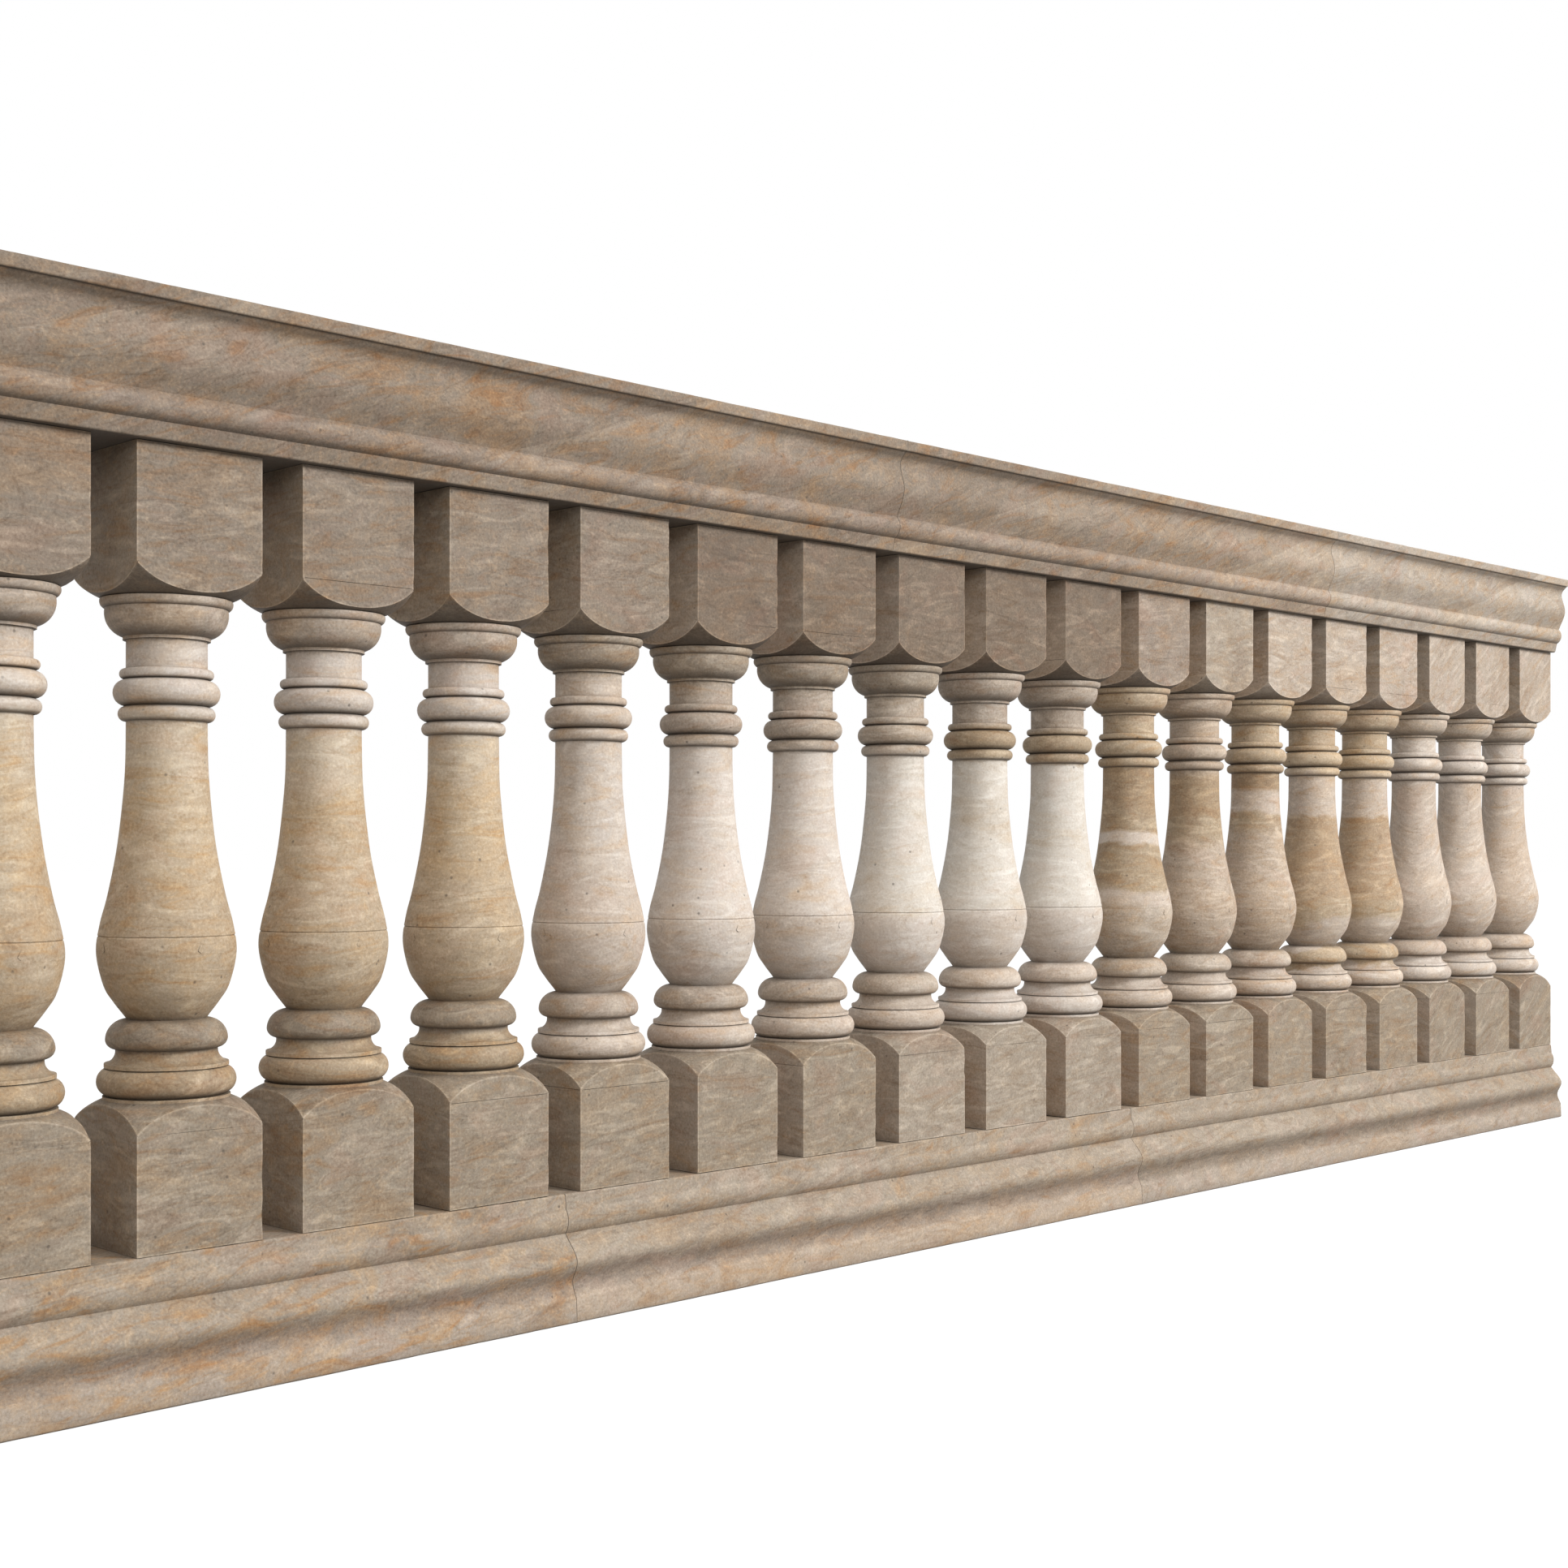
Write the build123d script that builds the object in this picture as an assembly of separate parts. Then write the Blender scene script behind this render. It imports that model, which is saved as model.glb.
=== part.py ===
from build123d import *
import os

# Stone balustrade: a moulded base, a row of turned balusters and a moulded rail.
# Millimetres. X runs along the balustrade, Y through it, Z up, origin under its middle.

# Run of balusters, and the joints between the long stones, counted in balusters from the left
baluster_count = 18
baluster_pitch = 170.0
balusters_before_rail_joints = (7, 13)
balusters_before_base_joints = (4, 10)

# Blank of one baluster: square blocks with eased arrises and lathe-cut shoulders
baluster_height = 732.0
block_width = 127.0
block_height = 103.0
block_arris = 2.0
shoulder_rise = 31.0
shoulder_radius = 58.0
shoulder_swell_share = 0.09
turning_overrun = 4.0
turning_margin = 0.1

# Foot of the turned length, from the lower shoulder up
seat_height = 3.0
foot_torus_height = 26.0
foot_torus_core = 54.0
foot_fillet_height = 4.0
foot_fillet_radius = 56.5
scotia_height = 13.0
scotia_radius = 46.5
scotia_depth_share = 0.22
cushion_height = 28.0
cushion_radius = 55.5
cushion_crown_share = 0.32
cushion_swell_share = 0.2

# Vase-shaped shaft: its swell over the throat, at heights above the lower neck
neck_radius = 36.5
throat_radius = 37.0
shaft_height_shares = (0.056, 0.112, 0.22, 0.315, 0.422, 0.587, 0.805)
shaft_swell_shares = (0.42, 0.755, 1.0, 0.885, 0.605, 0.285, 0.05)

# Collar and cap of the turned length, up to the upper shoulder
collar_core = 38.0
lower_bead_height = 14.5
lower_bead_radius = 44.3
collar_torus_height = 25.0
collar_torus_radius = 48.7
upper_bead_height = 10.0
upper_bead_radius = 43.0
frieze_height = 26.0
frieze_radius = 37.0
annulet_height = 3.0
annulet_radius = 40.0
bowl_height = 26.5
bowl_radius = 56.0
bowl_swell_share = 0.19
abacus_height = 9.0
abacus_foot_radius = 56.5
abacus_radius = 60.0
abacus_swell_share = 0.2

# Mouldings that the rail and, upside down, the base start with at the blocks
fascia_height = 16.0
roll_height = 26.0
outer_arris = 2.5

# Section of the rail, whose projections are from the block's face
rail_height = 134.0
rail_seat_projection = 9.0
rail_fascia_projection = 12.5
rail_roll_projection = 21.0
rail_quirk_projection = 16.0
rail_ovolo_projection = 28.0
rail_ovolo_height_share = 0.4
rail_hollow_projection = 21.5
rail_hollow_height_share = 0.82
rail_flare_projection = 30.5
rail_lip_projection = 34.0
rail_lip_height = 14.0

# Section of the base, which starts all but flush with the blocks and ends in a plinth on the ground
base_height = 134.0
base_seat_projection = 1.0
base_fascia_projection = 2.5
base_roll_projection = 6.5
base_quirk_projection = 1.5
base_ovolo_projection = 21.0
base_ovolo_height_share = 0.38
base_hollow_projection = 13.5
base_hollow_height_share = 0.73
base_flare_projection = 20.0
base_plinth_projection = 21.0
base_plinth_height = 25.0

# Places that follow from the sizes above
block_gap = baluster_pitch - block_width
run_length = (baluster_count - 1) * baluster_pitch + block_width
run_start = -run_length / 2
run_end = run_length / 2
half_block = block_width / 2
block_corner_radius = half_block * 2 ** 0.5
shoulder_level = block_height + shoulder_rise
belly_radius = half_block - turning_margin
foot_torus_radius = half_block - turning_margin
roll_crown_level = fascia_height + roll_height / 2
roll_top = fascia_height + roll_height


def roll(core_radius, crown_radius, low, height):
    """Half-round member that swells from its core radius and returns to it."""
    crown = (crown_radius, low + height / 2)
    return ThreePointArc((core_radius, low), crown, (core_radius, low + height))


def ring(radius, low, height):
    """Plain upright band of one radius."""
    return Line((radius, low), (radius, low + height))


def swelling(start, end, swell_share):
    """Arc between two points that bulges to the right of its way by a share of its chord."""
    chord = (Vector(*end) - Vector(*start)).length
    return SagittaArc(start, end, -swell_share * chord)


def turned(members):
    """Solid of revolution about Z, with flat steps between members of unlike radius."""
    bottom = (members[0] @ 0).Y
    last = Vector(0, bottom)
    outline = Curve()
    for member in members:
        if member @ 0 != last:
            outline += Line(last, member @ 0)
        outline += member
        last = member @ 1
    outline += Polyline(last, (0, last.Y), (0, bottom))
    return revolve(Plane.XZ * make_face(outline.edges()), Axis.Z)


def vase(low, height):
    """Outline of the shaft, slender above and swelling to the belly below."""
    swell = belly_radius - throat_radius
    points = [(neck_radius, low)]
    for height_share, swell_share in zip(shaft_height_shares, shaft_swell_shares):
        points.append((throat_radius + swell_share * swell, low + height_share * height))
    points.append((throat_radius, low + height))
    return Spline(points)


def turned_length():
    """Turned members between the two shoulders of a baluster, at their height in it."""
    torus_low = shoulder_level + seat_height
    fillet_low = torus_low + foot_torus_height
    scotia_low = fillet_low + foot_fillet_height
    cushion_low = scotia_low + scotia_height
    crown_level = cushion_low + cushion_crown_share * cushion_height
    shaft_low = cushion_low + cushion_height

    abacus_top = baluster_height - shoulder_level
    abacus_low = abacus_top - abacus_height
    bowl_low = abacus_low - bowl_height
    annulet_low = bowl_low - annulet_height
    frieze_low = annulet_low - frieze_height
    upper_bead_low = frieze_low - upper_bead_height
    collar_torus_low = upper_bead_low - collar_torus_height
    lower_bead_low = collar_torus_low - lower_bead_height

    cushion_crown = (cushion_radius, crown_level)
    return turned([
        ring(shoulder_radius, shoulder_level, seat_height),
        roll(foot_torus_core, foot_torus_radius, torus_low, foot_torus_height),
        ring(foot_fillet_radius, fillet_low, foot_fillet_height),
        swelling((foot_fillet_radius, scotia_low), (scotia_radius, cushion_low), -scotia_depth_share),
        swelling((scotia_radius, cushion_low), cushion_crown, cushion_swell_share),
        swelling(cushion_crown, (neck_radius, shaft_low), cushion_swell_share),
        vase(shaft_low, lower_bead_low - shaft_low),
        roll(collar_core, lower_bead_radius, lower_bead_low, lower_bead_height),
        roll(collar_core, collar_torus_radius, collar_torus_low, collar_torus_height),
        roll(collar_core, upper_bead_radius, upper_bead_low, upper_bead_height),
        ring(frieze_radius, frieze_low, frieze_height),
        ring(annulet_radius, annulet_low, annulet_height),
        swelling((annulet_radius, bowl_low), (bowl_radius, abacus_low), bowl_swell_share),
        swelling((abacus_foot_radius, abacus_low), (abacus_radius, abacus_top), abacus_swell_share),
    ])


def block():
    """Lower square block, its corners turned away into a rounded shoulder."""
    blank = extrude(RectangleRounded(block_width, block_width, block_arris), shoulder_level)
    turning_radius = block_corner_radius + turning_overrun
    shoulder = swelling((turning_radius, block_height), (shoulder_radius, shoulder_level), shoulder_swell_share)
    return blank & turned([ring(turning_radius, 0, block_height), shoulder])


def baluster():
    """One baluster, cut from a single stone and standing on its lower block."""
    lower_block = block()
    upper_block = Pos(0, 0, baluster_height) * mirror(lower_block, Plane.XY)
    return lower_block + turned_length() + upper_block


def edge(projection, level):
    """Point of a long stone's section, out from the block's face and up from the stone's seat."""
    return (half_block + projection, level)


def moulded_section(band, cyma, rim):
    """Section across X and up Y, by its points from the narrow seat to the wide rim on one side."""
    seat_edge, fascia_edge, crown_point, quirk_point = band
    height = rim[-1][1]
    outline = Line(seat_edge, fascia_edge)
    outline += ThreePointArc(fascia_edge, crown_point, quirk_point)
    outline += Spline(quirk_point, *cyma)
    outline += Polyline(cyma[-1], *rim, (0, height), (0, 0), seat_edge)
    half = make_face(outline.edges())
    whole = half + mirror(half, Plane.YZ)
    across = whole.vertices().group_by(Axis.X)
    return fillet(across[0] + across[-1], outer_arris)


def rail_section():
    """Section of the rail, standing on its soffit, with a square lip around its top."""
    lip_low = rail_height - rail_lip_height
    cyma_height = lip_low - roll_top
    band = (
        edge(rail_seat_projection, 0),
        edge(rail_fascia_projection, fascia_height),
        edge(rail_roll_projection, roll_crown_level),
        edge(rail_quirk_projection, roll_top),
    )
    cyma = (
        edge(rail_ovolo_projection, roll_top + rail_ovolo_height_share * cyma_height),
        edge(rail_hollow_projection, roll_top + rail_hollow_height_share * cyma_height),
        edge(rail_flare_projection, lip_low),
    )
    rim = (edge(rail_lip_projection, lip_low), edge(rail_lip_projection, rail_height))
    return moulded_section(band, cyma, rim)


def base_section():
    """Section of the base, hanging upside down from the seat of the balusters, with a plinth at its foot."""
    plinth_low = base_height - base_plinth_height
    cyma_height = plinth_low - roll_top
    band = (
        edge(base_seat_projection, 0),
        edge(base_fascia_projection, fascia_height),
        edge(base_roll_projection, roll_crown_level),
        edge(base_quirk_projection, roll_top),
    )
    cyma = (
        edge(base_ovolo_projection, roll_top + base_ovolo_height_share * cyma_height),
        edge(base_hollow_projection, roll_top + base_hollow_height_share * cyma_height),
        edge(base_flare_projection, plinth_low),
    )
    rim = (edge(base_plinth_projection, base_height),)
    return mirror(moulded_section(band, cyma, rim), Plane.XZ)


def long_stones(section, level, balusters_before_joints):
    """Stones of one section laid end to end over the run, with joints in gaps between blocks."""
    joints = [run_start + count * baluster_pitch - block_gap / 2 for count in balusters_before_joints]
    ends = [run_start, *joints, run_end]
    stones = []
    for start, end in zip(ends, ends[1:]):
        stones.append(extrude(Plane.YZ.offset(start) * Pos(0, level) * section, end - start))
    return stones


def balustrade():
    """Every stone of the balustrade by its node's name."""
    base_stones = long_stones(base_section(), base_height, balusters_before_base_joints)
    rail_stones = long_stones(rail_section(), base_height + baluster_height, balusters_before_rail_joints)
    nodes = {}
    for number, stone in enumerate(base_stones, 1):
        nodes[f"base_stone_{number}"] = stone
    one_baluster = baluster()
    for index in range(baluster_count):
        centre = run_start + half_block + index * baluster_pitch
        nodes[f"baluster_{index + 1:02d}"] = Pos(centre, 0, base_height) * one_baluster
    for number, stone in enumerate(rail_stones, 1):
        nodes[f"rail_stone_{number}"] = stone
    return nodes


os.makedirs("parts", exist_ok=True)
for node, stone in balustrade().items():
    export_step(stone, f"parts/{node}.step")
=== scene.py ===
"""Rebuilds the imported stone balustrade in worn, bedded limestone and stands it in a white studio."""
import logging
import math
from dataclasses import dataclass
from enum import Enum

import bmesh
import bpy
from mathutils import Matrix, Vector, noise
from mathutils.geometry import interpolate_bezier


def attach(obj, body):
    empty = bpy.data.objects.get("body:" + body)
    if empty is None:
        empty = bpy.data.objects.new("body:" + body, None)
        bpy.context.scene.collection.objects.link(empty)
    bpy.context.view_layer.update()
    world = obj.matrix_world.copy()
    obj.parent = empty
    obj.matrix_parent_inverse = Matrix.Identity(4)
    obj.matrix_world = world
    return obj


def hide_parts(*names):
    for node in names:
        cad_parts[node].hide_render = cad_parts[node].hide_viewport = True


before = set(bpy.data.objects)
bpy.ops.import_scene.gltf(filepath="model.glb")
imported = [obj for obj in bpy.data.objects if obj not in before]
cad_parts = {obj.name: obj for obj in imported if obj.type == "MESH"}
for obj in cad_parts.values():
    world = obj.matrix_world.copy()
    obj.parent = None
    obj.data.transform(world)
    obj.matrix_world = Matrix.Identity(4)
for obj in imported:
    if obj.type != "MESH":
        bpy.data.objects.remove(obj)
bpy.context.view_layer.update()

LOG = logging.getLogger("balustrade")
MM = 0.001
SAME_POINT = 0.01 * MM
ALONG_SHARE = 0.9
WAVE_LENGTH_AT_SCALE_1 = 0.314
BODY = "root"


def linear(code: str) -> tuple[float, float, float, float]:
    """Turns an sRGB hex colour into linear light.

    Args:
        code: six hex digits after a hash.

    Returns:
        Linear red, green and blue, with an alpha of 1.
    """
    channels = [int(code[i:i + 2], 16) / 255 for i in (1, 3, 5)]
    light = [c / 12.92 if c <= 0.04045 else ((c + 0.055) / 1.055) ** 2.4 for c in channels]
    return (*light, 1.0)


def add_node(
    tree: bpy.types.NodeTree, kind: str, links: dict | None = None, **settings: object,
) -> bpy.types.Node:
    """Adds one node with its settings and incoming links.

    Args:
        tree: node tree to add to.
        kind: Blender's name for the node type.
        links: input name or number to a socket that feeds it, or to a plain value.
        settings: properties of the node itself.

    Returns:
        The new node.
    """
    node = tree.nodes.new(kind)
    for name, value in settings.items():
        setattr(node, name, value)
    for key, source in (links or {}).items():
        if isinstance(source, bpy.types.NodeSocket):
            tree.links.new(source, node.inputs[key])
        else:
            node.inputs[key].default_value = source
    return node


def new_material(name: str) -> bpy.types.Material:
    """Makes a material with an empty node tree.

    Args:
        name: the material's name.

    Returns:
        The new material.
    """
    material = bpy.data.materials.new(name)
    material.use_nodes = True
    material.node_tree.nodes.clear()
    return material


class Tone(Enum):
    """Colours of the limestone's beds, and one dark tone for dirt and for painted shade."""

    IVORY = "#D9D1C6"
    CREAM = "#D5CABF"
    CHALK = "#CEC3B8"
    BEIGE = "#C6B8AA"
    DOVE = "#BBAE9F"
    CLAY = "#B8A897"
    ASH = "#B0A395"
    GREIGE = "#A29687"
    LINEN = "#CBBBA5"
    STRAW = "#C4B197"
    SAND = "#B8A68E"
    SIENNA = "#B09B82"
    TAN = "#AC9A82"
    OCHRE = "#A69177"
    FAWN = "#978B7B"
    TAUPE = "#918477"
    DRAB = "#968D82"
    PEWTER = "#8B8379"
    UMBER = "#897D6F"
    BARK = "#766859"
    # Dark tone for dirt in pits and mortar grains, and for painted shade under ledges and in hollows.
    GRIME_AND_SHADE = "#48423B"


class Wash(Enum):
    """Tints laid over any stone in soft light, where #BCBCBC would leave it as it is."""

    PALE = "#F1EFED"
    RUST = "#D0AF89"
    ROSE = "#CEB3A6"
    SHADE = "#89847F"


@dataclass(frozen=True)
class Bed:
    """One bed of the stone, from its lower face up; some beds are bands of painted light or shade."""

    level_mm: float
    tone: Tone
    blend_mm: float = 30.0


@dataclass(frozen=True)
class Lot:
    """Balusters from one part of the quarry, by the tones of their blocks and the beds between them."""

    upper_block: Tone
    lower_block: Tone
    # Tone of the block faces that look along the run: a lighter tone, painted light in the gaps.
    painted_lit_block_sides: Tone
    beds: tuple[Bed, ...]
    streak_rise_deg: float = 5.0
    rust: float = 0.5
    wander_mm: float = 9.0


# In every lot the bed at 311 mm starts a darker band on the cushion under the belly, which is painted shade;
# where a bed at 341 mm follows, it ends the band there.
TAN_LOT = Lot(Tone.UMBER, Tone.FAWN, Tone.GREIGE, (
    Bed(0, Tone.TAN), Bed(311, Tone.FAWN, 3), Bed(341, Tone.SAND, 3), Bed(480, Tone.STRAW, 60),
    Bed(560, Tone.LINEN, 40), Bed(620, Tone.CHALK, 20), Bed(690, Tone.ASH, 10),
), rust=0.5)
BUFF_LOT = Lot(Tone.UMBER, Tone.FAWN, Tone.GREIGE, (
    Bed(0, Tone.BEIGE), Bed(311, Tone.ASH, 3), Bed(341, Tone.BEIGE, 3), Bed(480, Tone.CHALK, 60),
    Bed(620, Tone.BEIGE, 10), Bed(690, Tone.GREIGE, 10),
), rust=0.4)
CREAM_LOT = Lot(Tone.BARK, Tone.FAWN, Tone.ASH, (
    Bed(0, Tone.BEIGE), Bed(311, Tone.ASH, 3), Bed(341, Tone.CHALK, 3), Bed(418, Tone.CREAM, 3),
    Bed(620, Tone.ASH, 10), Bed(690, Tone.GREIGE, 10),
), rust=0.35)
PALE_LOT = Lot(Tone.BARK, Tone.GREIGE, Tone.ASH, (
    Bed(0, Tone.BEIGE), Bed(311, Tone.DOVE, 3), Bed(341, Tone.CREAM, 3), Bed(418, Tone.IVORY, 3),
    Bed(620, Tone.DOVE, 10), Bed(690, Tone.GREIGE, 10),
), rust=0.25)
COLLARED_LOT = Lot(Tone.BARK, Tone.GREIGE, Tone.CLAY, (
    Bed(0, Tone.CHALK), Bed(311, Tone.BEIGE, 3), Bed(341, Tone.CREAM, 3), Bed(418, Tone.IVORY, 3),
    Bed(616, Tone.TAN, 6), Bed(662, Tone.ASH, 8),
), rust=0.2)
BANDED_LOT = Lot(Tone.TAUPE, Tone.FAWN, Tone.CLAY, (
    Bed(0, Tone.BEIGE), Bed(311, Tone.DOVE, 3), Bed(418, Tone.BEIGE, 3), Bed(438, Tone.TAN, 6),
    Bed(502, Tone.CREAM, 3), Bed(519, Tone.TAN, 3), Bed(560, Tone.OCHRE, 40), Bed(622, Tone.SAND, 20),
), rust=0.4, wander_mm=24.0)
MARBLED_LOT = Lot(Tone.GREIGE, Tone.FAWN, Tone.CLAY, (
    Bed(0, Tone.BEIGE), Bed(311, Tone.DOVE, 3), Bed(341, Tone.CLAY, 3), Bed(510, Tone.TAN, 30),
    Bed(553, Tone.OCHRE, 3), Bed(618, Tone.CLAY, 20),
), rust=0.3, wander_mm=30.0)
CAPPED_LOT = Lot(Tone.ASH, Tone.FAWN, Tone.CLAY, (
    Bed(0, Tone.BEIGE), Bed(311, Tone.DOVE, 3), Bed(341, Tone.CLAY, 3), Bed(535, Tone.TAN, 20),
    Bed(556, Tone.BEIGE, 3), Bed(586, Tone.OCHRE, 3), Bed(618, Tone.SAND, 20),
), rust=0.4, wander_mm=24.0)
TOPPED_LOT = Lot(Tone.ASH, Tone.FAWN, Tone.DOVE, (
    Bed(0, Tone.BEIGE), Bed(311, Tone.SAND, 3), Bed(341, Tone.BEIGE, 3), Bed(385, Tone.SAND, 10),
    Bed(415, Tone.SIENNA, 8), Bed(551, Tone.BEIGE, 3), Bed(625, Tone.STRAW, 20), Bed(665, Tone.SAND, 10),
), rust=0.4, wander_mm=40.0)
VEINED_LOT = Lot(Tone.ASH, Tone.FAWN, Tone.DOVE, (
    Bed(0, Tone.CHALK), Bed(311, Tone.BEIGE, 3), Bed(618, Tone.CHALK, 20), Bed(690, Tone.DOVE, 10),
), streak_rise_deg=38.0, rust=0.35)
BALUSTER_LOTS = (
    [TAN_LOT] * 4 + [BUFF_LOT] + [CREAM_LOT] * 2 + [PALE_LOT] + [COLLARED_LOT] * 2
    + [BANDED_LOT, MARBLED_LOT, CAPPED_LOT, TOPPED_LOT, TOPPED_LOT] + [VEINED_LOT] * 3
)


@dataclass(frozen=True)
class RubbedLimestone:
    """Bedded limestone, sawn or turned and then rubbed with grit.

    Rubbing leaves a dull, even surface. The eye sees soft clouds, broken rusty patches, pale streaks along
    the beds, fine veins, small pits with dirt in them and paler worn arrises. Shade in the hollows and under
    the ledges, lighter block sides and a lighter far end of the run are painted into the colour.
    """

    beds: tuple[Bed, ...]
    blocks: tuple[Tone, Tone, Tone] | None = None
    streak_rise_deg: float = 5.0
    rust: float = 0.5
    streak: float = 0.7
    seam: float = 0.0
    rose: float = 0.45
    # Painted light: the stone grows paler along the run between these two places.
    painted_far_light: float = 0.0
    painted_far_light_from_mm: float = 0.0
    painted_far_light_to_mm: float = 800.0
    block_low_mm: float = 268.0
    block_high_mm: float = 732.0
    streak_turn_deg: float = 32.0
    shift_shares: tuple[float, float, float] = (1.0, 2.0, 0.37)
    patch_stretch: float = 1.5
    streak_stretch: float = 4.0
    cloud_mm: float = 110.0
    patch_mm: float = 70.0
    fleck_mm: float = 11.0
    streak_mm: float = 20.0
    vein_mm: float = 60.0
    grain_mm: float = 2.6
    pit_mm: float = 26.0
    seam_mm: float = 200.0
    relief_mm: float = 0.8
    bed_wander_mm: float = 9.0
    # Reach and rays of the ambient occlusion that paints shade into hollows and gaps.
    painted_shade_reach_mm: float = 24.0
    painted_shade_rays: int = 6

    def material(self, name: str, shift_m: float) -> bpy.types.Material:
        """Builds the material for one stone.

        Args:
            name: the material's name.
            shift_m: shift of the patterns, so that no two stones match.

        Returns:
            The new material.
        """
        stone = new_material(name)
        tree = stone.node_tree
        place = add_node(tree, "ShaderNodeTexCoord").outputs["Object"]
        facing = add_node(tree, "ShaderNodeNewGeometry").outputs["Normal"]
        patterns = self.patterns(tree, place, shift_m)
        colour = self.bedded(tree, place, patterns["cloud"])
        if self.blocks:
            colour = self.dress_blocks(tree, colour, place, facing)
        colour = self.washed(tree, colour, place, patterns)
        pit = add_node(tree, "ShaderNodeMapRange", {
            "Value": patterns["pits"], "From Min": 0.08, "From Max": 0.03, "To Max": 0.6,
        }).outputs["Result"]
        colour = self.soiled_and_shaded(tree, colour, facing, pit)

        relief = add_node(tree, "ShaderNodeMath", {
            0: patterns["grain"], 1: pit,
        }, operation="SUBTRACT").outputs[0]
        bump = add_node(tree, "ShaderNodeBump", {
            "Height": relief, "Strength": 0.35, "Distance": self.relief_mm * MM,
        })
        rough = add_node(tree, "ShaderNodeMapRange", {
            "Value": patterns["cloud"], "From Min": 0.3, "From Max": 0.7, "To Min": 0.62, "To Max": 0.82,
        }).outputs["Result"]
        shader = add_node(tree, "ShaderNodeBsdfPrincipled", {
            "Base Color": colour, "Roughness": rough, "IOR": 1.45, "Normal": bump.outputs["Normal"],
        })
        add_node(tree, "ShaderNodeOutputMaterial", {"Surface": shader.outputs["BSDF"]})
        return stone

    def drawn_out(
        self, tree: bpy.types.NodeTree, place: bpy.types.NodeSocket, shift_m: float, stretch: float,
    ) -> bpy.types.NodeSocket:
        """Adds coordinates that draw a pattern out along the beds.

        Args:
            tree: the material's node tree.
            place: place in metres.
            shift_m: shift of the pattern.
            stretch: length along the beds, as a multiple of the height across them.

        Returns:
            The coordinates.
        """
        return add_node(tree, "ShaderNodeMapping", {
            "Vector": place, "Location": [share * shift_m for share in self.shift_shares],
            "Rotation": (0, -math.radians(self.streak_rise_deg), math.radians(self.streak_turn_deg)),
            "Scale": (stretch, stretch, 1.0),
        }, vector_type="TEXTURE").outputs["Vector"]

    def patterns(
        self, tree: bpy.types.NodeTree, place: bpy.types.NodeSocket, shift_m: float,
    ) -> dict[str, bpy.types.NodeSocket]:
        """Adds the patterns that make the stone's colour and relief.

        Args:
            tree: the material's node tree.
            place: place in metres.
            shift_m: shift of the patterns.

        Returns:
            Each pattern's strength, by its name.
        """
        even = self.drawn_out(tree, place, shift_m, 1.0)
        broad = self.drawn_out(tree, place, shift_m, self.patch_stretch)
        long = self.drawn_out(tree, place, shift_m, self.streak_stretch)
        patterns = {}
        for key, along, size_mm, detail, roughness, distortion in (
            ("cloud", broad, self.cloud_mm, 4.0, 0.6, 0.6),
            ("patch", broad, self.patch_mm, 3.0, 0.6, 1.2),
            ("fleck", broad, self.fleck_mm, 6.0, 0.75, 1.2),
            ("streak", long, self.streak_mm, 4.0, 0.55, 1.8),
            ("vein", long, self.vein_mm, 4.0, 0.6, 1.0),
            ("grain", even, self.grain_mm, 2.0, 0.6, 0.0),
        ):
            patterns[key] = add_node(tree, "ShaderNodeTexNoise", {
                "Vector": along, "Scale": 1 / (size_mm * MM), "Detail": detail, "Roughness": roughness,
                "Distortion": distortion,
            }).outputs["Fac"]
        patterns["pits"] = add_node(tree, "ShaderNodeTexVoronoi", {
            "Vector": even, "Scale": 1 / (self.pit_mm * MM), "Randomness": 1.0,
        }).outputs["Distance"]
        patterns["seams"] = add_node(tree, "ShaderNodeTexWave", {
            "Vector": long, "Scale": WAVE_LENGTH_AT_SCALE_1 / (self.seam_mm * MM), "Distortion": 1.2,
            "Detail": 3.0,
        }, bands_direction="Z", wave_profile="SAW").outputs["Fac"]
        return patterns

    def bedded(
        self, tree: bpy.types.NodeTree, place: bpy.types.NodeSocket, cloud: bpy.types.NodeSocket,
    ) -> bpy.types.NodeSocket:
        """Colours the stone by its beds, whose faces wander up and down.

        Args:
            tree: the material's node tree.
            place: place in metres.
            cloud: pattern that the beds wander with.

        Returns:
            Colour of the beds.
        """
        height = add_node(tree, "ShaderNodeSeparateXYZ", {"Vector": place}).outputs["Z"]
        wander = add_node(tree, "ShaderNodeMapRange", {
            "Value": cloud, "To Min": -self.bed_wander_mm * MM, "To Max": self.bed_wander_mm * MM,
        }).outputs["Result"]
        bed_height = add_node(tree, "ShaderNodeMath", {0: height, 1: wander}, operation="ADD").outputs[0]
        ramp = add_node(tree, "ShaderNodeValToRGB", {"Fac": bed_height})
        self.lay_beds(ramp.color_ramp)
        return ramp.outputs["Color"]

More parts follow.
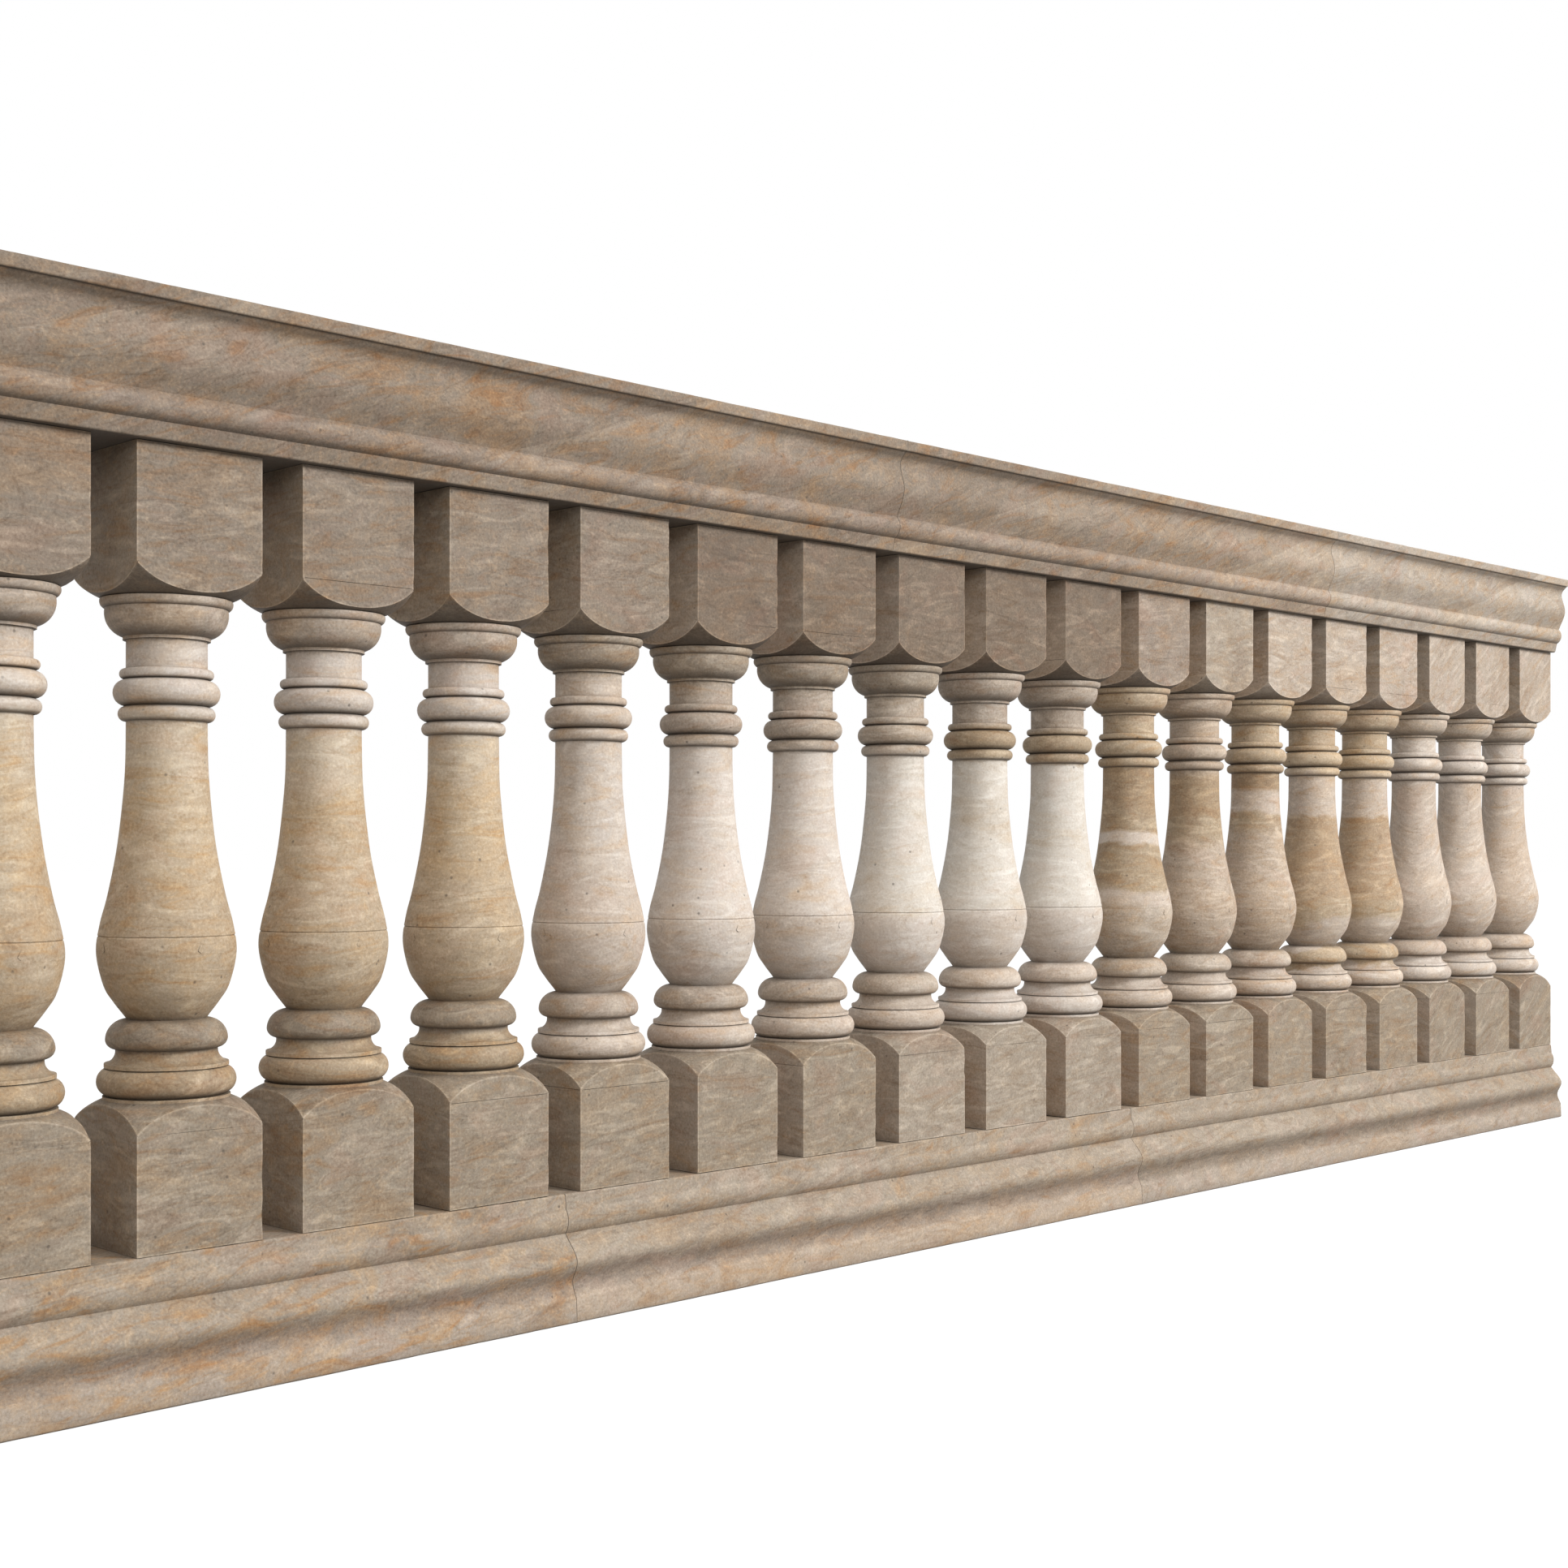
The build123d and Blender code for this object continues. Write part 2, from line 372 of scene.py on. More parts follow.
    def washed(
        self, tree: bpy.types.NodeTree, colour: bpy.types.NodeSocket, place: bpy.types.NodeSocket,
        patterns: dict[str, bpy.types.NodeSocket],
    ) -> bpy.types.NodeSocket:
        """Lays the tints of clouds, patches, streaks, veins, grains and worn arrises over the beds, and
        painted light along the run.

        Args:
            tree: the material's node tree.
            colour: colour of the beds.
            place: place in metres.
            patterns: each pattern's strength, by its name.

        Returns:
            Colour of the clean stone.
        """
        run = add_node(tree, "ShaderNodeSeparateXYZ", {"Vector": place}).outputs["X"]
        wear = add_node(tree, "ShaderNodeAttribute", attribute_name="wear").outputs["Fac"]
        ridge = add_node(tree, "ShaderNodeMath", {
            0: patterns["vein"], 1: 0.5,
        }, operation="SUBTRACT").outputs[0]
        ridge = add_node(tree, "ShaderNodeMath", {0: ridge}, operation="ABSOLUTE").outputs[0]
        ragged = add_node(tree, "ShaderNodeMath", {
            0: patterns["fleck"], 1: 0.6, 2: patterns["patch"],
        }, operation="MULTIPLY_ADD").outputs[0]
        for mask, none_at, full_at, most, wash in (
            # Painted light: paler along the run towards the far end.
            (run, self.painted_far_light_from_mm * MM, self.painted_far_light_to_mm * MM, self.painted_far_light, Wash.PALE),
            (patterns["seams"], 0.6, 0.0, self.seam, Wash.SHADE),
            (patterns["seams"], 0.6, 1.0, self.seam, Wash.PALE),
            (patterns["cloud"], 0.46, 0.30, 0.6, Wash.SHADE),
            (patterns["patch"], 0.48, 0.32, self.rose, Wash.ROSE),
            (ragged, 0.72, 1.00, self.rust, Wash.RUST),
            (patterns["streak"], 0.52, 0.68, self.streak, Wash.PALE),
            (patterns["streak"], 0.48, 0.30, self.rust, Wash.RUST),
            (patterns["streak"], 0.44, 0.26, 0.4, Wash.SHADE),
            (patterns["fleck"], 0.53, 0.68, 0.55, Wash.PALE),
            (patterns["fleck"], 0.46, 0.31, 0.6, Wash.SHADE),
            (ridge, 0.02, 0.0, 0.5, Wash.SHADE),
            (patterns["grain"], 0.53, 0.70, 0.6, Wash.SHADE),
            (patterns["grain"], 0.47, 0.30, 0.5, Wash.PALE),
            (wear, 0.3, 1.0, 0.8, Wash.PALE),
        ):
            if not most:
                continue
            share = add_node(tree, "ShaderNodeMapRange", {
                "Value": mask, "From Min": none_at, "From Max": full_at, "To Max": most,
            }).outputs["Result"]
            colour = add_node(tree, "ShaderNodeMix", {
                "Factor": share, "A": colour, "B": linear(wash.value),
            }, data_type="RGBA", blend_type="SOFT_LIGHT").outputs["Result"]
        return colour

    def soiled_and_shaded(
        self, tree: bpy.types.NodeTree, colour: bpy.types.NodeSocket, facing: bpy.types.NodeSocket,
        pit: bpy.types.NodeSocket,
    ) -> bpy.types.NodeSocket:
        """Darkens pits with dirt, and paints shade on faces that look down and into the hollows that ambient
        occlusion finds.

        Args:
            tree: the material's node tree.
            colour: colour of the clean stone.
            facing: direction that the surface faces.
            pit: depth of the pits, from 0 to 1.

        Returns:
            Colour of the stone with dirty pits and painted shade.
        """
        upward = add_node(tree, "ShaderNodeSeparateXYZ", {"Vector": facing}).outputs["Z"]
        painted_light_mask = add_node(tree, "ShaderNodeAmbientOcclusion", {
            "Distance": self.painted_shade_reach_mm * MM,
        }, samples=self.painted_shade_rays).outputs["AO"]
        for mask, none_at, full_at, most in (
            (pit, 0.0, 1.0, 1.0),
            # Painted shade: faces that look down are darkened towards the dark tone.
            (upward, -0.55, -0.98, 0.8),
            # Painted shade: hollows and gaps that ambient occlusion finds are darkened.
            (painted_light_mask, 0.85, 0.3, 0.6),
        ):
            share = add_node(tree, "ShaderNodeMapRange", {
                "Value": mask, "From Min": none_at, "From Max": full_at, "To Max": most,
            }).outputs["Result"]
            colour = add_node(tree, "ShaderNodeMix", {
                "Factor": share, "A": colour, "B": linear(Tone.GRIME_AND_SHADE.value),
            }, data_type="RGBA").outputs["Result"]
        return colour

    def dress_blocks(
        self, tree: bpy.types.NodeTree, colour: bpy.types.NodeSocket, place: bpy.types.NodeSocket,
        facing: bpy.types.NodeSocket,
    ) -> bpy.types.NodeSocket:
        """Gives both square blocks their own tones, and paints their faces that look along the run a lighter
        tone, as painted light in the gaps.

        Args:
            tree: the material's node tree.
            colour: colour of the turned length.
            place: place in metres.
            facing: direction that the surface faces.

        Returns:
            Colour of the whole stone.
        """
        lower, upper, sides = self.blocks
        height = add_node(tree, "ShaderNodeSeparateXYZ", {"Vector": place}).outputs["Z"]
        sideways = add_node(tree, "ShaderNodeSeparateXYZ", {"Vector": facing}).outputs["X"]
        sideways = add_node(tree, "ShaderNodeMath", {0: sideways}, operation="ABSOLUTE").outputs[0]
        # Painted light: faces that look along the run, into the gaps, take the lighter side tone.
        painted_light_mask = add_node(tree, "ShaderNodeMapRange", {
            "Value": sideways, "From Min": 0.9,
        }).outputs["Result"]
        for level_mm, side, tone in (
            (self.block_low_mm, "LESS_THAN", lower),
            (self.block_high_mm, "GREATER_THAN", upper),
        ):
            dressed = add_node(tree, "ShaderNodeMix", {
                "Factor": painted_light_mask, "A": linear(tone.value), "B": linear(sides.value),
            }, data_type="RGBA").outputs["Result"]
            block = add_node(tree, "ShaderNodeMath", {
                0: height, 1: level_mm * MM,
            }, operation=side).outputs[0]
            colour = add_node(tree, "ShaderNodeMix", {
                "Factor": block, "A": colour, "B": dressed,
            }, data_type="RGBA").outputs["Result"]
        return colour

    def lay_beds(self, ramp: bpy.types.ColorRamp) -> None:
        """Sets the ramp's stops from the beds, which blend into one another over their stated depth.

        Args:
            ramp: colour ramp over the height in metres.
        """
        stops = [(0.0, self.beds[0].tone)]
        for below, bed in zip(self.beds, self.beds[1:]):
            stops.append(((bed.level_mm - bed.blend_mm / 2) * MM, below.tone))
            stops.append(((bed.level_mm + bed.blend_mm / 2) * MM, bed.tone))
        while len(ramp.elements) < len(stops):
            ramp.elements.new(1.0)
        for element, (level, tone) in zip(ramp.elements, stops):
            element.position = level
            element.color = linear(tone.value)


@dataclass(frozen=True)
class LimeMortar:
    """Lime and sand pointing, struck flush and left to dry.

    It dries pale and chalky, so the eye sees a thin matt line with sandy grains.
    """

    tone: Tone = Tone.FAWN
    grain_mm: float = 1.5
    relief_mm: float = 0.5

    def material(self) -> bpy.types.Material:
        """Builds the mortar's material.

        Returns:
            The new material.
        """
        mortar = new_material("lime_mortar")
        tree = mortar.node_tree
        place = add_node(tree, "ShaderNodeTexCoord").outputs["Object"]
        grain = add_node(tree, "ShaderNodeTexNoise", {
            "Vector": place, "Scale": 1 / (self.grain_mm * MM), "Detail": 3.0, "Roughness": 0.7,
        }).outputs["Fac"]
        colour = add_node(tree, "ShaderNodeMix", {
            "Factor": grain, "A": linear(self.tone.value), "B": linear(Tone.GRIME_AND_SHADE.value),
        }, data_type="RGBA").outputs["Result"]
        bump = add_node(tree, "ShaderNodeBump", {
            "Height": grain, "Strength": 0.6, "Distance": self.relief_mm * MM,
        })
        shader = add_node(tree, "ShaderNodeBsdfPrincipled", {
            "Base Color": colour, "Roughness": 0.95, "Normal": bump.outputs["Normal"],
        })
        add_node(tree, "ShaderNodeOutputMaterial", {"Surface": shader.outputs["BSDF"]})
        return mortar


@dataclass(frozen=True)
class Corner:
    """Corner of an outline, and the bow of the run up to it, as a share of that run's chord."""

    out_mm: float
    up_mm: float
    bow: float = 0.0

    @property
    def point(self) -> Vector:
        """The corner in metres, outwards and up."""
        return Vector((self.out_mm * MM, self.up_mm * MM))


def cut_run(corners: tuple[Corner, ...], steps: int = 12) -> list[Vector]:
    """Follows corners in straight runs and circular bows.

    Args:
        corners: the corners in order; a bow is to the right of the way.
        steps: pieces that each bow is divided into.

    Returns:
        Points from the first corner to the last.
    """
    points = [corners[0].point]
    for start, end in zip(corners, corners[1:]):
        if not end.bow:
            points.append(end.point)
            continue
        turn = 2 * math.atan(2 * end.bow)
        reach = (end.point - start.point) / (3 * math.cos(turn / 2) ** 2)
        leave = start.point + Matrix.Rotation(-turn, 2) @ reach
        arrive = end.point - Matrix.Rotation(turn, 2) @ reach
        points += interpolate_bezier(start.point, leave, arrive, end.point, steps + 1)[1:]
    return points


def smooth_run(corners: tuple[Corner, ...], steps: int = 6) -> list[Vector]:
    """Follows corners in one smooth curve.

    Args:
        corners: the corners that the curve goes through.
        steps: pieces between two corners.

    Returns:
        Points from the first corner to the last.
    """
    ways = [corner.point for corner in corners]
    guides = [2 * ways[0] - ways[1], *ways, 2 * ways[-1] - ways[-2]]
    points = [ways[0]]
    for before, start, end, after in zip(guides, guides[1:], guides[2:], guides[3:]):
        leave = start + (end - before) / 6
        arrive = end - (after - start) / 6
        points += interpolate_bezier(start, leave, arrive, end, steps + 1)[1:]
    return points


@dataclass
class Mason:
    """Eases, weathers and sets finished stones."""

    worn_mm: float = 0.5
    chip_mm: float = 1.2
    wave_mm: float = 45.0
    knock_mm: float = 16.0
    knock_floor: float = 0.1
    own_shift_m: tuple[float, float, float] = (0.731, 1.313, 0.517)
    crease_deg: float = 35.0

    def ease(
        self, shape: bmesh.types.BMesh, edges: list[bmesh.types.BMEdge], size_mm: float, segments: int,
        worn: float,
    ) -> None:
        """Rounds arrises and marks how worn they are.

        Args:
            shape: mesh that is cut.
            edges: its sharp edges.
            size_mm: width that each edge loses on either side.
            segments: facets across the rounding.
            worn: wear of the rounded strip, from 0 to 1.
        """
        layer = shape.verts.layers.float.get("wear") or shape.verts.layers.float.new("wear")
        made = bmesh.ops.bevel(
            shape, geom=edges, offset=size_mm * MM, offset_type="OFFSET", segments=segments, profile=0.5,
            affect="EDGES", clamp_overlap=True, material=-1,
        )
        for vert in made["verts"]:
            vert[layer] = worn

    def weather(self, shape: bmesh.types.BMesh, seed: int) -> None:
        """Wears the surface inwards, in long waves all over and in small knocks along the arrises.

        Args:
            shape: mesh to wear.
            seed: number that sets this stone's own wear.
        """
        layer = shape.verts.layers.float["wear"]
        own = Vector(self.own_shift_m) * seed
        shape.normal_update()
        for vert in shape.verts:
            waves = 0.5 + 0.5 * noise.noise((vert.co + own) / (self.wave_mm * MM))
            knocks = max(0.0, noise.noise((vert.co + own) / (self.knock_mm * MM)) - self.knock_floor)
            vert.co -= vert.normal * MM * (self.worn_mm * waves + self.chip_mm * knocks * vert[layer])

    def set_stone(self, node: str, shape: bmesh.types.BMesh, slot: str, finish: bpy.types.Material) -> None:
        """Turns a mesh into the piece that stands for a stone.

        Args:
            node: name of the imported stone.
            shape: its mesh, which is freed.
            slot: the record's material slot.
            finish: its material.
        """
        piece = self.set_piece(f"worn_{node}", shape, slot, finish)
        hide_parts(node)

    def set_piece(
        self, name: str, shape: bmesh.types.BMesh, slot: str, finish: bpy.types.Material,
    ) -> bpy.types.Object:
        """Turns a mesh into a piece of the balustrade.

        Args:
            name: name of the piece.
            shape: its mesh, which is freed.
            slot: the record's material slot; it is not used.
            finish: its material.

        Returns:
            The new object.
        """
        mesh = bpy.data.meshes.new(name)
        bmesh.ops.recalc_face_normals(shape, faces=shape.faces)
        shape.to_mesh(mesh)
        shape.free()
        mesh.shade_smooth()
        mesh.set_sharp_from_angle(angle=math.radians(self.crease_deg))
        mesh.materials.append(finish)
        piece = bpy.data.objects.new(name, mesh)
        bpy.context.scene.collection.objects.link(piece)
        piece.modifiers.new("flat_faces_lead", "WEIGHTED_NORMAL").keep_sharp = True
        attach(piece, BODY)
        LOG.info("%s set, %d faces", name, len(mesh.polygons))
        return piece


def sharp_edges(shape: bmesh.types.BMesh, least_deg: float = 30.0) -> list[bmesh.types.BMEdge]:
    """Finds the outward edges whose faces meet at more than an angle."""
    least = math.radians(least_deg)
    return [edge for edge in shape.edges if edge.is_convex and edge.calc_face_angle(0.0) > least]


@dataclass
class BalusterRow:
    """Turned balusters: a solid of revolution whose ends four saw cuts make square."""

    mason: Mason
    count: int = 18
    pitch_mm: float = 170.0
    level_mm: float = 134.0
    half_block_mm: float = 63.5
    block_arris_mm: float = 2.4
    turned_arris_mm: float = 0.7
    arris_cuts: int = 14
    margin_mm: float = 2.5
    level_slack_mm: float = 0.1
    saw_slack_mm: float = 0.02
    square_on: float = 0.99
    lathe_steps: int = 72
    scribed_count: int = 10
    scribe_level_mm: float = 285.0
    scribe_mm: float = 1.6
    pattern_shift_m: float = 0.731
    foot: tuple[Corner, ...] = (
        Corner(93.8, 0), Corner(93.8, 103), Corner(58, 134, 0.09), Corner(58, 137), Corner(54, 137),
        Corner(54, 163, 0.3615), Corner(56.5, 163), Corner(56.5, 167), Corner(46.5, 180, -0.22),
        Corner(55.5, 189, 0.2), Corner(36.5, 208, 0.2),
    )
    vase: tuple[Corner, ...] = (
        Corner(36.5, 208), Corner(48.1, 223.5), Corner(56.9, 238.9), Corner(63.4, 268.7), Corner(60.4, 294.9),
        Corner(53, 324.5), Corner(44.5, 370), Corner(38.3, 430.2), Corner(37, 484),
    )
    head: tuple[Corner, ...] = (
        Corner(38, 484), Corner(38, 498.5, 0.434), Corner(38, 523.5, 0.428), Corner(38, 533.5, 0.5),
        Corner(37, 533.5), Corner(37, 559.5), Corner(40, 559.5), Corner(40, 562.5), Corner(56, 589, 0.19),
        Corner(56.5, 589), Corner(60, 598, 0.2), Corner(58, 598), Corner(93.8, 629, 0.09), Corner(93.8, 732),
    )

    def build(self) -> None:
        """Sets the whole row, each baluster with its own wear and stone."""
        patterns = {is_scribed: self.turn(is_scribed) for is_scribed in (True, False)}
        for pattern in patterns.values():
            self.saw(pattern)
            self.ease(pattern)
        first = -(self.count - 1) / 2 * self.pitch_mm
        for number in range(1, self.count + 1):
            stone = patterns[number <= self.scribed_count].copy()
            place = Vector((first + (number - 1) * self.pitch_mm, 0, self.level_mm)) * MM
            bmesh.ops.translate(stone, verts=stone.verts, vec=place)
            self.mason.weather(stone, number)
            lot = BALUSTER_LOTS[number - 1]
            finish = RubbedLimestone(
                beds=lot.beds, blocks=(lot.lower_block, lot.upper_block, lot.painted_lit_block_sides),
                streak_rise_deg=lot.streak_rise_deg, rust=lot.rust, bed_wander_mm=lot.wander_mm,
            )
            node = f"baluster_{number:02d}"
            material = finish.material(f"rubbed_limestone_{node}", self.pattern_shift_m * number)
            self.mason.set_stone(node, stone, "baluster_stone", material)
        for pattern in patterns.values():
            pattern.free()

    def scribed(self, outline: list[Vector]) -> list[Vector]:
        """Adds the fine line that the turner scribed around the belly to an outline.

        Args:
            outline: points of the plain outline, from the foot up.

        Returns:
            The outline with a small groove in it.
        """
        level = self.scribe_level_mm * MM
        above = next(index for index, point in enumerate(outline) if point.y > level)
        low, high = outline[above - 1], outline[above]
        on_belly = low.lerp(high, (level - low.y) / (high.y - low.y))
        half = Vector((0, self.scribe_mm / 2)) * MM
        deep = Vector((self.scribe_mm / 2, 0)) * MM
        groove = [on_belly - half, on_belly - deep, on_belly + half]
        return outline[:above] + groove + outline[above:]

    def turn(self, is_scribed: bool) -> bmesh.types.BMesh:
        """Spins the outline about the lathe's axis.

        Args:
            is_scribed: whether a line is scribed around the belly.

        Returns:
            The turned mesh, open at both beds.
        """
        outline = cut_run(self.foot) + smooth_run(self.vase)[1:] + cut_run(self.head)
        if is_scribed:
            outline = self.scribed(outline)
        shape = bmesh.new()
        verts = [shape.verts.new((point.x, 0, point.y)) for point in outline]
        edges = [shape.edges.new(pair) for pair in zip(verts, verts[1:])]
        bmesh.ops.spin(
            shape, geom=verts + edges, axis=(0, 0, 1), cent=(0, 0, 0), angle=2 * math.pi,
            steps=self.lathe_steps, use_merge=True,
        )
        bmesh.ops.remove_doubles(shape, verts=shape.verts, dist=SAME_POINT)
        bmesh.ops.recalc_face_normals(shape, faces=shape.faces)
        return shape

    def saw(self, shape: bmesh.types.BMesh) -> None:
        """Closes both beds, then cuts the blocks' four faces and closes each cut.

        Args:
            shape: the turned mesh.
        """
        bmesh.ops.holes_fill(shape, edges=[edge for edge in shape.edges if edge.is_boundary])
        for side in (Vector((1, 0, 0)), Vector((-1, 0, 0)), Vector((0, 1, 0)), Vector((0, -1, 0))):
            bmesh.ops.bisect_plane(
                shape, geom=shape.verts[:] + shape.edges[:] + shape.faces[:],
                plane_co=side * self.half_block_mm * MM, plane_no=side, clear_outer=True,
            )
            bmesh.ops.holes_fill(shape, edges=[edge for edge in shape.edges if edge.is_boundary])
        bmesh.ops.remove_doubles(shape, verts=shape.verts, dist=SAME_POINT)
        bmesh.ops.recalc_face_normals(shape, faces=shape.faces)

    def ease(self, shape: bmesh.types.BMesh) -> None:
        """Rounds the blocks' arrises and, more finely, the edges of the turned members.

        Args:
            shape: the sawn mesh.
        """
        slack = self.level_slack_mm * MM
        block_low, block_high = self.foot[2].up_mm * MM, self.head[-3].up_mm * MM
        bed_low, bed_high = self.foot[0].up_mm * MM, self.head[-1].up_mm * MM
        upright = [edge for edge in sharp_edges(shape) if self.is_upright(edge)]
        bmesh.ops.subdivide_edges(shape, edges=upright, cuts=self.arris_cuts)
        on_block, turned = [], []
        for edge in sharp_edges(shape):
            levels = [vert.co.z for vert in edge.verts]
            if max(levels) < bed_low + slack or min(levels) > bed_high - slack:
                continue
            in_block = max(levels) < block_low - slack or min(levels) > block_high + slack
            (on_block if in_block else turned).append(edge)
        self.mason.ease(shape, on_block, self.block_arris_mm, segments=3, worn=1.0)
        turned = [edge for edge in turned if edge.is_valid]
        self.mason.ease(shape, turned, self.turned_arris_mm, segments=2, worn=0.5)
        flats = [face for face in shape.faces if self.is_sawn(face)]
        bmesh.ops.inset_region(
            shape, faces=flats, thickness=self.margin_mm * MM, use_boundary=True, use_even_offset=True,
        )
        layer = shape.verts.layers.float["wear"]
        for face in flats:
            for vert in face.verts:
                vert[layer] = 0.0

    def is_sawn(self, face: bmesh.types.BMFace) -> bool:
        """Tells whether a face lies in one of the four saw cuts.

        Args:
            face: face of the eased mesh.

        Returns:
            Whether it lies in a cut and faces straight out of it.
        """
        place = face.calc_center_median()
        off_cut = min(abs(abs(place[axis]) - self.half_block_mm * MM) for axis in (0, 1))
        straight = max(abs(face.normal.x), abs(face.normal.y))
        return off_cut < self.saw_slack_mm * MM and straight > self.square_on

    def is_upright(self, edge: bmesh.types.BMEdge) -> bool:
        """Tells whether an edge is one of the blocks' long upright arrises."""
        rise = abs(edge.verts[0].co.z - edge.verts[1].co.z)
        return rise > ALONG_SHARE * edge.calc_length() and rise > self.half_block_mm * MM


@dataclass
class Course:
    """Long stones of one moulded section, laid end to end, with pointing in their joints."""

    mason: Mason
    name: str
    seat_mm: float
    up: int
    band: tuple[Corner, ...]
    cyma: tuple[Corner, ...]
    rim: tuple[Corner, ...]
    ends_mm: tuple[float, ...]
    beds: tuple[tuple[Bed, ...], ...]
    rusts: tuple[float, ...]
    arris_mm: float = 2.5
    joint_mm: float = 0.8
    step_mm: float = 9.0
    streak_rise_deg: float = 8.0
    streak: float = 0.4
    seam: float = 0.0
    rose: float = 0.5
    painted_far_light: float = 0.0
    pattern_shift_m: float = 1.137
    seed_step: int = 100

    def build(self) -> None:
        """Sets the stones of the course and points the joints between them."""
        for number, (beds, rust) in enumerate(zip(self.beds, self.rusts), 1):
            start, end = self.ends_mm[number - 1] * MM, self.ends_mm[number] * MM
            stone = self.draw(start, end)
            self.ease(stone)
            self.divide(stone, end - start)
            self.mason.weather(stone, self.seed_step * self.up + number)
            node = f"{self.name}_{number}"
            finish = RubbedLimestone(
                beds=beds, streak_rise_deg=self.streak_rise_deg, rust=rust, streak=self.streak,
                seam=self.seam, rose=self.rose, painted_far_light=self.painted_far_light,
            )
            material = finish.material(f"rubbed_limestone_{node}", self.pattern_shift_m * (number + self.up))
            self.mason.set_stone(node, stone, self.name, material)
        mortar = LimeMortar().material()
        for number, place in enumerate(self.ends_mm[1:-1], 1):
            self.point_joint(f"{self.name}_pointing_{number}", place * MM, mortar)

    def draw(self, start: float, end: float) -> bmesh.types.BMesh:
        """Draws half the section, mirrors it and extrudes it from end to end.

        Args:
            start: where the stone begins along the run, in metres.
            end: where it ends.

        Returns:
            The stone's mesh.
        """
        half = cut_run(self.band) + smooth_run(self.cyma)[1:] + cut_run(self.rim)
        half = [Vector((0, 0)), *half, Vector((0, half[-1].y))]
        shape = bmesh.new()
        level = self.seat_mm * MM
        verts = [shape.verts.new((start, point.x, level + self.up * point.y)) for point in half]
        edges = [shape.edges.new(pair) for pair in zip(verts, verts[1:])]
        bmesh.ops.mirror(shape, geom=verts + edges, axis="Y", merge_dist=SAME_POINT, matrix=Matrix())
        bmesh.ops.remove_doubles(shape, verts=shape.verts, dist=SAME_POINT)
        face = bmesh.ops.contextual_create(shape, geom=shape.edges[:])["faces"][0]
        grown = bmesh.ops.extrude_face_region(shape, geom=[face], use_keep_orig=True)["geom"]
        far = [item for item in grown if isinstance(item, bmesh.types.BMVert)]
        bmesh.ops.translate(shape, verts=far, vec=(end - start, 0, 0))
        bmesh.ops.recalc_face_normals(shape, faces=shape.faces)
        return shape

    def ease(self, shape: bmesh.types.BMesh) -> None:
        """Rounds the long arrises, and the edges of both ends more finely.

        Args:
            shape: the stone's mesh, before it is divided.
        """
        long_edges = [edge for edge in sharp_edges(shape) if self.runs_along(edge)]
        self.mason.ease(shape, long_edges, self.arris_mm, segments=3, worn=1.0)
        end_edges = [edge for edge in sharp_edges(shape, least_deg=60.0) if not self.runs_along(edge)]
        self.mason.ease(shape, end_edges, self.joint_mm, segments=2, worn=0.3)

    def divide(self, shape: bmesh.types.BMesh, length: float) -> None:
        """Divides the long faces in even steps, so that they can be worn.

        Args:
            shape: the stone's mesh.
            length: its length in metres.
        """
        along = [edge for edge in shape.edges if self.runs_along(edge)]
        long_edges = [edge for edge in along if edge.calc_length() > length / 2]
        cuts = round(length / (self.step_mm * MM)) - 1
        bmesh.ops.subdivide_edges(shape, edges=long_edges, cuts=cuts, use_grid_fill=True)

    def runs_along(self, edge: bmesh.types.BMEdge) -> bool:
        """Tells whether an edge runs along the stone."""
        along = abs(edge.verts[0].co.x - edge.verts[1].co.x)
        return along > ALONG_SHARE * edge.calc_length()

    def point_joint(self, name: str, place: float, mortar: bpy.types.Material) -> None:
        """Fills the small groove between two stones.

        Args:
            name: the piece's name.
            place: the joint's place along the run, in metres.
            mortar: the pointing's material.
        """
        shape = self.draw(place - self.joint_mm * MM, place + self.joint_mm * MM)
        shape.normal_update()
        for vert in shape.verts:
            vert.co -= Vector((0, vert.normal.y, vert.normal.z)).normalized() * self.joint_mm * MM
        self.mason.set_piece(name, shape, self.name, mortar)


RAIL = {
    "name": "rail_stone",
    "seat_mm": 866.0,
    "up": 1,
    "band": (Corner(72.5, 0), Corner(76, 16), Corner(79.5, 42, 0.255)),
    "cyma": (Corner(79.5, 42), Corner(91.5, 73.2), Corner(85, 106), Corner(94, 120)),
    "rim": (Corner(97.5, 120), Corner(97.5, 134)),
    "ends_mm": (-1508.5, -340.0, 680.0, 1508.5),
    # The lighter tone from 884 to 909 mm is painted light on the roll.
    "beds": (
        (Bed(0, Tone.UMBER), Bed(884, Tone.TAUPE, 10), Bed(909, Tone.UMBER, 10)),
        (Bed(0, Tone.UMBER), Bed(884, Tone.TAUPE, 10), Bed(909, Tone.UMBER, 10)),
        (Bed(0, Tone.PEWTER), Bed(884, Tone.DRAB, 10), Bed(909, Tone.PEWTER, 10)),
    ),
    "rusts": (0.7, 0.6, 0.5),
    "streak_rise_deg": 22.0,
    "seam": 0.24,
    # Painted light: the rail grows paler along the run towards the far end.
    "painted_far_light": 0.8,
}
BASE = {
    "name": "base_stone",
    "seat_mm": 134.0,
    "up": -1,
    "band": (Corner(64.5, 0), Corner(66, 16), Corner(65, 42, 0.173)),
    "cyma": (Corner(65, 42), Corner(84.5, 67.5), Corner(77, 91), Corner(83.5, 109)),
    "rim": (Corner(84.5, 134),),
    "ends_mm": (-1508.5, -850.0, 170.0, 1508.5),
    # The darker tone from 31 to 55 mm is painted shade in the hollow under the ovolo; the lighter tone below
    # it is painted light on the plinth.
    "beds": (
        (Bed(0, Tone.ASH), Bed(31, Tone.TAUPE, 12), Bed(55, Tone.GREIGE, 12)),
        (Bed(0, Tone.CLAY), Bed(31, Tone.TAUPE, 12), Bed(55, Tone.GREIGE, 12)),
        (Bed(0, Tone.ASH), Bed(31, Tone.UMBER, 12), Bed(55, Tone.GREIGE, 12)),
    ),
    "rusts": (0.9, 0.5, 0.4),
}


